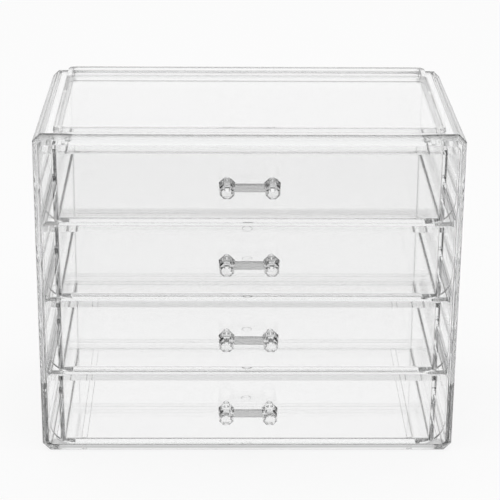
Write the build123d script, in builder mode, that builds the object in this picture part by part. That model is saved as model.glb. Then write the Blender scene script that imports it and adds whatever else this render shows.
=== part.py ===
from build123d import *
import os
from math import cos, radians, sin, tan

# Clear plastic make-up organiser: a moulded case with full-width drawers one above another.
# Millimetres, +Z up. The front faces -Y and the drawers slide out towards -Y.
# The origin is the bottom centre of the whole product, handles included.

# Case
case_width = 240.0
case_depth = 134.0
drawer_count = 4
drawer_pitch = 46.05  # height of one drawer front with its gap
shelf_thickness = 2.6
bottom_thickness = 2.7
foot_height = 1.8  # skirt and rails under the bottom panel
top_thickness = 6.3  # border of the top panel, above the highest drawer
side_thickness = 4.0
back_thickness = 3.0
outside_draft = 0.75  # degrees: the outer faces lean in towards the back
inside_draft = 0.25  # degrees: sides and top of an opening close in towards the back
corner_chamfer = 4.5  # along the four front-to-back edges
front_round = 2.8  # round of the outer front edges
back_round = 4.0  # round of the outer back edges
opening_radius = 3.0
opening_edge_round = 0.5

# Raised rim that makes the top a shallow tray
rim_side_margin = 11.3  # from the side of the case to the rim
rim_front_margin = 4.6
rim_back_margin = 3.2
rim_width = 3.2
rim_height = 2.4
rim_corner_radius = 4.5
rim_draft = 6.0  # degrees
tray_recess = 1.9  # floor of the tray below the border of the case

# Underside
skirt_width = 3.0  # skirt at its foot, inside the corner chamfer
rail_width = 3.2
rail_inset = 24.1  # from the side of the case to the middle of the rail
rail_front_margin = 10.0
rail_back_margin = 6.0
pocket_radius = 4.0

# Drawers
run_clearance = 0.3  # between the bottom of a drawer and its shelf
top_clearance = 0.3  # between the top of a drawer front and the level of the shelf above
stop_clearance = 0.4  # between the back of a closed drawer front and the edges of the shelves
side_clearance = 0.6  # at each end of a drawer front
front_setback = 0.5  # drawer front behind the front of the case
front_thickness = 3.0
front_bevel_height = 4.6  # sloped band along the top of the drawer front
front_bevel_depth = 2.1
front_lower_radius = 14.3
front_upper_radius = 2.4
tray_side_gap = 6.8  # from the side of the opening to the foot of the drawer's side wall
tray_back_gap = 5.0  # from the back of the case to the foot of the drawer's back wall
tray_wall = 2.4
tray_floor = 2.2
tray_draft = 0.5  # degrees: the walls lean outwards
tray_clearance = 0.8  # between the side and back walls and the shelf above
tray_corner_radius = 3.2
tray_foot_radius = 0.8
tray_inner_radius = 0.8
gate_radius = 2.9  # round mark that the mould's gate leaves under the floor
gate_depth = 0.25
gate_from_front = 58.0

# Handles
knob_spacing = 25.0
knob_height = 24.75  # from the underside of the drawer to the middle of the knobs
knob_back_width = 9.1  # across flats
knob_front_width = 8.1
knob_length = 12.2
knob_face_width = 5.8  # front face, inside the sloped facets
knob_face_length = 1.8  # length of the sloped facets
neck_radius = 2.0
neck_length = 6.6
glue_gap = 0.05
rod_radius = 2.4
rod_offset = 3.2  # from the back of the knobs to the middle of the rod
rod_socket = 2.2

# Worked out from the sizes above
floor_z = foot_height + bottom_thickness
case_height = floor_z + drawer_count * drawer_pitch + top_thickness
handle_reach = neck_length + knob_length - front_setback
front_y = (handle_reach - case_depth) / 2
middle_y = front_y + case_depth / 2
opening_width = case_width - 2 * side_thickness
front_plane = Plane(origin=(0, front_y, 0), x_dir=(-1, 0, 0), z_dir=(0, 1, 0))
top_slope = radians(outside_draft)
top_middle_z = case_height - case_depth / 2 * tan(top_slope)
top_plane = Plane(
    origin=(0, middle_y, top_middle_z),
    x_dir=(1, 0, 0),
    z_dir=(0, sin(top_slope), cos(top_slope)),
)
front_width = opening_width - 2 * side_clearance
front_height = drawer_pitch - run_clearance - top_clearance
face_y = front_y + front_setback
inner_y = face_y + front_thickness
wall_height = drawer_pitch - shelf_thickness - run_clearance - tray_clearance
mouth_depth = front_setback + front_thickness + stop_clearance
lean = (wall_height - tray_floor) * tan(radians(tray_draft))
tray_width = opening_width - 2 * tray_side_gap
tray_back_y = front_y + case_depth - back_thickness - tray_back_gap
half_facet = 22.5  # degrees, turns an octagon to stand on a flat
knob_back_y = face_y - neck_length
knob_taper = (knob_back_width - knob_front_width) / (knob_length - knob_face_length)
knob_width_at_rod = knob_back_width - knob_taper * rod_offset
rod_half_length = (knob_spacing - knob_width_at_rod) / 2 + rod_socket


def opening_floor(row):
    """Height of what a drawer slides on, counted from the bottom row."""
    return floor_z + row * drawer_pitch


def make_case():
    """One moulding: shell, shelves, tray rim, skirt and rails."""
    rim_outer_width = case_width - 2 * rim_side_margin
    rim_outer_depth = case_depth - rim_front_margin - rim_back_margin
    rim_shift = (rim_front_margin - rim_back_margin) / 2
    pocket_width = case_width - 2 * (corner_chamfer + skirt_width)
    pocket_depth = case_depth - 2 * (corner_chamfer + skirt_width)
    rail_length = case_depth - rail_front_margin - rail_back_margin
    rail_x = case_width / 2 - rail_inset
    opening_depth = case_depth - back_thickness
    closing = (opening_depth - mouth_depth) * tan(radians(inside_draft))
    with BuildPart() as case:
        with BuildSketch(front_plane):
            with Locations((0, case_height / 2)):
                Rectangle(case_width, case_height)
            chamfer(vertices(), length=corner_chamfer)
        extrude(amount=case_depth, taper=outside_draft)
        fillet(faces().sort_by(Axis.Y)[0].edges(), radius=front_round)
        fillet(faces().sort_by(Axis.Y)[-1].edges(), radius=back_round)

        # Tray rim and the recess inside it
        with BuildSketch(top_plane):
            with Locations((0, rim_shift)):
                RectangleRounded(rim_outer_width, rim_outer_depth, rim_corner_radius)
        extrude(amount=rim_height, taper=rim_draft)
        with BuildSketch(top_plane.offset(rim_height)):
            with Locations((0, rim_shift)):
                RectangleRounded(
                    rim_outer_width - 2 * rim_width,
                    rim_outer_depth - 2 * rim_width,
                    rim_corner_radius - rim_width / 2,
                )
        extrude(amount=-(rim_height + tray_recess), taper=rim_draft, mode=Mode.SUBTRACT)

        # Mouth in front of the shelves, which the drawer fronts fill
        with BuildSketch(front_plane):
            with Locations((0, floor_z + drawer_count * drawer_pitch / 2)):
                RectangleRounded(opening_width, drawer_count * drawer_pitch, opening_radius)
        extrude(amount=mouth_depth, mode=Mode.SUBTRACT)
        mouth = faces().filter_by(Plane.XZ).sort_by(Axis.Y)[0].inner_wires()
        fillet(mouth.edges(), radius=opening_edge_round)

        # Drawer openings behind the mouth, with level floors
        for row in range(drawer_count):
            ceiling = 0 if row == drawer_count - 1 else shelf_thickness
            height = drawer_pitch - ceiling
            with BuildSketch(front_plane.offset(mouth_depth)):
                with Locations((0, opening_floor(row) + height / 2)):
                    RectangleRounded(opening_width, height, opening_radius)
            with BuildSketch(front_plane.offset(opening_depth)):
                with Locations((0, opening_floor(row) + (height - closing) / 2)):
                    RectangleRounded(
                        opening_width - 2 * closing, height - closing, opening_radius
                    )
            loft(ruled=True, mode=Mode.SUBTRACT)

        # Hollow underside with two rails
        with BuildSketch(Plane.XY):
            with Locations((0, middle_y)):
                RectangleRounded(pocket_width, pocket_depth, pocket_radius)
        extrude(amount=foot_height, mode=Mode.SUBTRACT)
        with BuildSketch(Plane.XY):
            rail_middle = front_y + rail_front_margin + rail_length / 2
            with Locations((-rail_x, rail_middle), (rail_x, rail_middle)):
                Rectangle(rail_width, rail_length)
        extrude(amount=foot_height)
    case.part.label = "case"
    return case.part


def drawer_foot(number):
    """Height of the underside of a drawer. Drawer 1 is the top one."""
    return opening_floor(drawer_count - number) + run_clearance


def make_drawer(number):
    """One moulding: a tray, and a wider front with a sloped band along its top."""
    foot_z = drawer_foot(number)
    with BuildPart() as drawer:
        # Tray, with walls that lean outwards for the mould
        with BuildSketch(Plane.XY.offset(foot_z)) as footprint:
            with Locations((0, (inner_y + tray_back_y) / 2)):
                Rectangle(tray_width, tray_back_y - inner_y)
            fillet(footprint.vertices().group_by(Axis.Y)[-1], radius=tray_corner_radius)
        extrude(amount=wall_height, taper=-tray_draft)
        foot_edges = faces().sort_by(Axis.Z)[0].edges().sort_by(Axis.Y)
        fillet(foot_edges[1:], radius=tray_foot_radius)

        # Front, wider than the tray
        with BuildSketch(front_plane.offset(front_setback)) as outline:
            with Locations((0, foot_z + front_height / 2)):
                Rectangle(front_width, front_height)
            fillet(outline.vertices().group_by(Axis.Y)[0], radius=front_lower_radius)
            fillet(outline.vertices().group_by(Axis.Y)[-1], radius=front_upper_radius)
        extrude(amount=front_thickness)
        with BuildSketch(Plane.YZ):
            with BuildLine():
                Polyline(
                    (face_y, foot_z + front_height),
                    (face_y, foot_z + front_height - front_bevel_height),
                    (face_y + front_bevel_depth, foot_z + front_height),
                    close=True,
                )
            make_face()
        extrude(amount=front_width / 2, both=True, mode=Mode.SUBTRACT)

        # Inside of the tray
        with BuildSketch(Plane.XY.offset(foot_z + tray_floor)):
            with Locations((0, (inner_y + lean + tray_back_y - tray_wall) / 2)):
                RectangleRounded(
                    tray_width - 2 * tray_wall,
                    tray_back_y - tray_wall - inner_y - lean,
                    tray_inner_radius,
                )
        extrude(amount=wall_height - tray_floor, taper=-tray_draft, mode=Mode.SUBTRACT)
        floor = faces().filter_by(Plane.XY).group_by(Axis.Z)[1]
        fillet(floor.edges(), radius=tray_inner_radius)

        # Holes for the necks of the two knobs
        with BuildSketch(front_plane):
            with Locations(
                (-knob_spacing / 2, foot_z + knob_height), (knob_spacing / 2, foot_z + knob_height)
            ):
                Circle(neck_radius + glue_gap)
        extrude(amount=front_setback + front_thickness + lean, mode=Mode.SUBTRACT)

        # Mark of the mould's gate
        with BuildSketch(Plane.XY.offset(foot_z)):
            with Locations((0, face_y + gate_from_front)):
                Circle(gate_radius)
        extrude(amount=gate_depth, mode=Mode.SUBTRACT)
    drawer.part.label = f"drawer_{number}"
    return drawer.part


def make_knob(number, side):
    """Faceted octagonal knob on a round neck. Side is -1 on the left, 1 on the right."""
    knob_z = drawer_foot(number) + knob_height
    knob_x = side * knob_spacing / 2
    back = Plane(origin=(knob_x, knob_back_y, knob_z), x_dir=(1, 0, 0), z_dir=(0, -1, 0))
    with BuildPart() as knob:
        with BuildSketch(back):
            RegularPolygon(knob_back_width / 2, 8, major_radius=False, rotation=half_facet)
        with BuildSketch(back.offset(knob_length - knob_face_length)):
            RegularPolygon(knob_front_width / 2, 8, major_radius=False, rotation=half_facet)
        loft(ruled=True)
        with BuildSketch(back.offset(knob_length - knob_face_length)):
            RegularPolygon(knob_front_width / 2, 8, major_radius=False, rotation=half_facet)
        with BuildSketch(back.offset(knob_length)):
            RegularPolygon(knob_face_width / 2, 8, major_radius=False, rotation=half_facet)
        loft(ruled=True)
        with BuildSketch(back):
            Circle(neck_radius)
        extrude(amount=-(neck_length + front_thickness))
        rod_plane = Plane(
            origin=(0, knob_back_y - rod_offset, knob_z), x_dir=(0, 1, 0), z_dir=(side, 0, 0)
        )
        with BuildSketch(rod_plane):
            Circle(rod_radius + glue_gap)
        extrude(amount=rod_half_length + glue_gap, mode=Mode.SUBTRACT)
    name = "left" if side < 0 else "right"
    knob.part.label = f"knob_{name}_{number}"
    return knob.part


def make_rod(number):
    """Round bar between the two knobs, glued into a socket in each."""
    rod_z = drawer_foot(number) + knob_height
    with BuildPart() as rod:
        with BuildSketch(Plane.YZ):
            with Locations((knob_back_y - rod_offset, rod_z)):
                Circle(rod_radius)
        extrude(amount=rod_half_length, both=True)
    rod.part.label = f"handle_rod_{number}"
    return rod.part


pieces = [make_case()]
for number in range(1, drawer_count + 1):
    pieces.append(make_drawer(number))
    pieces.append(make_knob(number, -1))
    pieces.append(make_knob(number, 1))
    pieces.append(make_rod(number))
for piece in pieces:
    export_step(piece, f"parts/{piece.label}.step")
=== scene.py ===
import bpy
from math import pi, radians
from mathutils import Matrix, Vector

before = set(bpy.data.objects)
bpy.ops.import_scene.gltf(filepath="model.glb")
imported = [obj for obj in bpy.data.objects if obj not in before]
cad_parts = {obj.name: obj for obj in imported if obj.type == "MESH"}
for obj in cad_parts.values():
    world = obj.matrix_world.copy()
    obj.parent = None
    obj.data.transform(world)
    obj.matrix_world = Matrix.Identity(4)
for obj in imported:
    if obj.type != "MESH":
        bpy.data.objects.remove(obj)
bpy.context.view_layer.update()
scene = bpy.context.scene

# ---------------------------------------------------------------- sizes and levels

MM = 0.001
WHITE = "#ffffff"
PAPER = "#f4f4f4"
INSIDE_TINT = "#e0e2e2"  # what a long way through the plastic leaves of white
PLASTIC_IOR = 1.55

FLOOR_REACH = 6.0  # metres from the middle to each edge of the paper
FLOOR_LEVEL = -0.2 * MM  # a hair under the feet, so that what shows through them is the paper
GLOW_SHARE = 0.88  # how much of the paper is plain white to the camera and the plastic

# Brightness of the paper and of the room as the plastic sees them: from, to, level at each.
PAPER_IN_FRONT = (-0.35, -0.09, 0.38, 1.0)  # along Y, metres
PAPER_AT_SIDES = (0.2, 0.5, 1.0, 0.7)  # away from X = 0, metres
SHADE_PAINTED_UNDER_SKIRT = (4.5 * MM, 6.5 * MM, 0.6, 1.0)  # painted shadow under the front skirt, by distance from the middle of the strip
SKIRT_STRIP_Y = -52.5 * MM
ROOM_OVERHEAD = (0.58, 0.66, 1.0, 0.02)  # by the Z of the direction
ROOM_IN_FRONT = (-0.5, 0.0, 0.12, 1.0)  # by its Y
ROOM_AT_SIDES = (0.22, 0.42, 1.0, 0.03)  # by its X, either way
ROOM_FILL = 0.7  # on surfaces that aren't clear

IMAGE_WIDTH = 500.0  # pixels
SENSOR_WIDTH = 36.0  # millimetres
# Light runs the whole depth of a clear shelf between its faces, so paths are let go on for long.
LONGEST_PATH = 40

# ---------------------------------------------------------------- small helpers


def linear(hex_colour):
    """An sRGB hex colour as the linear colour that shaders take."""
    channels = [int(hex_colour[i:i + 2], 16) / 255 for i in (1, 3, 5)]
    return (*[c / 12.92 if c <= 0.04045 else ((c + 0.055) / 1.055) ** 2.4 for c in channels], 1.0)


def add_node(tree, kind, settings=None, **links):
    """Adds a node. Settings are its own fields, links its inputs: a value, or a socket to join."""
    node = tree.nodes.new(kind)
    for field, value in (settings or {}).items():
        setattr(node, field, value)
    for name, value in links.items():
        socket = node.inputs[int(name[1:])] if name[0] == "_" else node.inputs[name.replace("_", " ")]
        if isinstance(value, bpy.types.NodeSocket):
            tree.links.new(value, socket)
        else:
            socket.default_value = value
    return node


def sum_of(tree, operation, first, second=0.0):
    """One step of arithmetic on numbers or sockets."""
    return add_node(tree, "ShaderNodeMath", {"operation": operation}, _0=first, _1=second).outputs[0]


def ease(tree, value, levels):
    """Goes smoothly from one level to another. Levels is from, to, and the level at each."""
    start, end, level_at_start, level_at_end = levels
    return add_node(tree, "ShaderNodeMapRange", {"interpolation_type": "SMOOTHSTEP"}, Value=value,
                    From_Min=start, From_Max=end, To_Min=level_at_start, To_Max=level_at_end).outputs[0]


def new_material(name):
    material = bpy.data.materials.new(name)
    material.use_nodes = True
    material.node_tree.nodes.clear()
    return material, material.node_tree


# ---------------------------------------------------------------- materials


def clear_plastic(name, tint, absorption, wave_mm, wave_height_mm, round_mm):
    """Clear plastic with a polished surface.

    It is bright and glassy, with the slight long waves that the flow of the melt leaves,
    and its edges go grey because light runs a long way inside the sheet."""
    material, tree = new_material(name)
    place = add_node(tree, "ShaderNodeTexCoord")
    flow = add_node(tree, "ShaderNodeTexNoise", Vector=place.outputs["Object"],
                    Scale=1.0 / (wave_mm * MM), Detail=1.0, Roughness=0.4)
    # Sharp edges of the mould come out very slightly round.
    edges = add_node(tree, "ShaderNodeBevel", {"samples": 4}, Radius=round_mm * MM)
    waves = add_node(tree, "ShaderNodeBump", Strength=1.0, Distance=wave_height_mm * MM,
                     Height=flow.outputs["Fac"], Normal=edges.outputs["Normal"])
    shader = add_node(tree, "ShaderNodeBsdfPrincipled", Base_Color=linear(tint), Roughness=0.0,
                      IOR=PLASTIC_IOR, Transmission_Weight=1.0, Normal=waves.outputs["Normal"])
    depth = add_node(tree, "ShaderNodeVolumeAbsorption", Color=linear(INSIDE_TINT),
                     Density=absorption)
    add_node(tree, "ShaderNodeOutputMaterial", Surface=shader.outputs["BSDF"],
             Volume=depth.outputs["Volume"])
    return material


# General-purpose polystyrene from a polished steel mould
case_plastic = clear_plastic("clear polystyrene, moulded case", tint=WHITE, absorption=1.0,
                             wave_mm=40.0, wave_height_mm=0.002, round_mm=0.6)
drawer_plastic = clear_plastic("clear polystyrene, moulded drawer", tint=WHITE, absorption=1.0,
                               wave_mm=40.0, wave_height_mm=0.002, round_mm=0.5)
# Acrylic bar between the knobs, tinted a little greyer than the rest as painted shade: the grey stands
# in for the darker room that the clear bar reflects.
rod_plastic_painted_shade = clear_plastic("clear acrylic, extruded rod, grey as painted shade", tint="#d3d3d3", absorption=4.0,
                            wave_mm=10.0, wave_height_mm=0.0005, round_mm=0.0)
# Acrylic knobs with crisp facets
handle_plastic = clear_plastic("clear acrylic, polished handle", tint=WHITE, absorption=4.0,
                               wave_mm=10.0, wave_height_mm=0.0005, round_mm=0.0)


def plastic_of(node):
    """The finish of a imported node, by its name."""
    if node == "case":
        return case_plastic
    if node.startswith("drawer"):
        return drawer_plastic
    if node.startswith("handle_rod"):
        return rod_plastic_painted_shade
    return handle_plastic


for node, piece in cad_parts.items():
    for slot in piece.material_slots:
        slot.material = plastic_of(node)

# ---------------------------------------------------------------- stage, light and camera


def make_floor():
    """Plain white sweep that the organiser stands on.

    The camera sees it white. The plastic sees it fade in front and a little at the sides."""
    mesh = bpy.data.meshes.new("floor")
    corners = [(x * FLOOR_REACH, y * FLOOR_REACH, FLOOR_LEVEL)
               for x, y in ((-1, -1), (1, -1), (1, 1), (-1, 1))]
    mesh.from_pydata(corners, [], [(0, 1, 2, 3)])
    floor = bpy.data.objects.new("floor", mesh)
    scene.collection.objects.link(floor)
    material, tree = new_material("matt white paper")
    paper = add_node(tree, "ShaderNodeBsdfDiffuse", Color=linear(PAPER))
    place = add_node(tree, "ShaderNodeTexCoord")
    split = add_node(tree, "ShaderNodeSeparateXYZ", Vector=place.outputs["Object"])
    in_front = ease(tree, split.outputs["Y"], PAPER_IN_FRONT)
    at_sides = ease(tree, sum_of(tree, "ABSOLUTE", split.outputs["X"]), PAPER_AT_SIDES)
    # Painted shadow: a darker strip of paper under the front skirt draws the bottom line of the case.
    from_strip = sum_of(tree, "SUBTRACT", split.outputs["Y"], SKIRT_STRIP_Y)
    painted_skirt_shade = ease(tree, sum_of(tree, "ABSOLUTE", from_strip), SHADE_PAINTED_UNDER_SKIRT)
    around = sum_of(tree, "MULTIPLY", sum_of(tree, "MULTIPLY", in_front, at_sides), painted_skirt_shade)
    path = add_node(tree, "ShaderNodeLightPath")
    bright = sum_of(tree, "MAXIMUM", path.outputs["Is Camera Ray"], around)
    glow = add_node(tree, "ShaderNodeEmission", Color=linear(WHITE), Strength=bright)
    clear = sum_of(tree, "MAXIMUM", path.outputs["Is Transmission Ray"], path.outputs["Is Glossy Ray"])
    seen = sum_of(tree, "MAXIMUM", path.outputs["Is Camera Ray"], clear)
    share = sum_of(tree, "MULTIPLY", seen, GLOW_SHARE)
    both = add_node(tree, "ShaderNodeMixShader", _0=share, _1=paper.outputs[0], _2=glow.outputs[0])
    add_node(tree, "ShaderNodeOutputMaterial", Surface=both.outputs[0])
    mesh.materials.append(material)


def make_world():
    """White sweep behind the organiser, a darker room in front of it, at its sides and overhead.

    The camera sees plain white. The plastic sees the room, and that draws its edges."""
    world = bpy.data.worlds.new("photo studio")
    scene.world = world
    world.use_nodes = True
    tree = world.node_tree
    tree.nodes.clear()
    way = add_node(tree, "ShaderNodeTexCoord")
    split = add_node(tree, "ShaderNodeSeparateXYZ", Vector=way.outputs["Generated"])
    overhead = ease(tree, split.outputs["Z"], ROOM_OVERHEAD)
    in_front = ease(tree, split.outputs["Y"], ROOM_IN_FRONT)
    at_sides = ease(tree, sum_of(tree, "ABSOLUTE", split.outputs["X"]), ROOM_AT_SIDES)
    room_light = sum_of(tree, "MULTIPLY", overhead, sum_of(tree, "MULTIPLY", in_front, at_sides))
    path = add_node(tree, "ShaderNodeLightPath")
    clear = sum_of(tree, "MAXIMUM", path.outputs["Is Transmission Ray"], path.outputs["Is Glossy Ray"])
    fill = add_node(tree, "ShaderNodeBackground", Color=linear(WHITE), Strength=ROOM_FILL)
    room = add_node(tree, "ShaderNodeBackground", Color=linear(WHITE), Strength=room_light)
    white = add_node(tree, "ShaderNodeBackground", Color=linear(WHITE), Strength=1.0)
    inner = add_node(tree, "ShaderNodeMixShader", _0=clear, _1=fill.outputs[0], _2=room.outputs[0])
    both = add_node(tree, "ShaderNodeMixShader", _0=path.outputs["Is Camera Ray"],
                    _1=inner.outputs[0], _2=white.outputs[0])
    add_node(tree, "ShaderNodeOutputWorld", Surface=both.outputs[0])


def add_softbox(name, place, target, size, power):
    """Square soft lamp. Place, target and size are in metres, power in watts."""
    lamp = bpy.data.lights.new(name, "AREA")
    lamp.shape = "RECTANGLE"
    lamp.size, lamp.size_y = size
    lamp.energy = power
    box = bpy.data.objects.new(name, lamp)
    box.location = place
    box.rotation_euler = (Vector(target) - Vector(place)).to_track_quat("-Z", "Y").to_euler()
    scene.collection.objects.link(box)


def make_camera(place, down, right, tilt, pixels_of_focus):
    """Camera at the photograph's viewing angle. Angles are in degrees."""
    lens = bpy.data.cameras.new("camera")
    lens.sensor_width = SENSOR_WIDTH
    lens.lens = pixels_of_focus * SENSOR_WIDTH / IMAGE_WIDTH
    lens.clip_start, lens.clip_end = 0.05, 50.0
    camera = bpy.data.objects.new("camera", lens)
    camera.matrix_world = (Matrix.Translation(place) @ Matrix.Rotation(-radians(right), 4, "Z")
                           @ Matrix.Rotation(pi / 2 - radians(down), 4, "X")
                           @ Matrix.Rotation(radians(tilt), 4, "Z"))
    scene.collection.objects.link(camera)
    scene.camera = camera


make_floor()
make_world()
add_softbox("top softbox", place=(0.0, -0.2, 1.4), target=(0, 0, 0), size=(1.2, 1.2), power=5.0)
make_camera(place=(-0.0181, -1.0586, 0.5273), down=21.79, right=1.067, tilt=0.487,
            pixels_of_focus=1917.7)
scene.view_settings.view_transform = "Standard"
scene.cycles.max_bounces = LONGEST_PATH
scene.cycles.glossy_bounces = LONGEST_PATH
scene.cycles.transmission_bounces = LONGEST_PATH
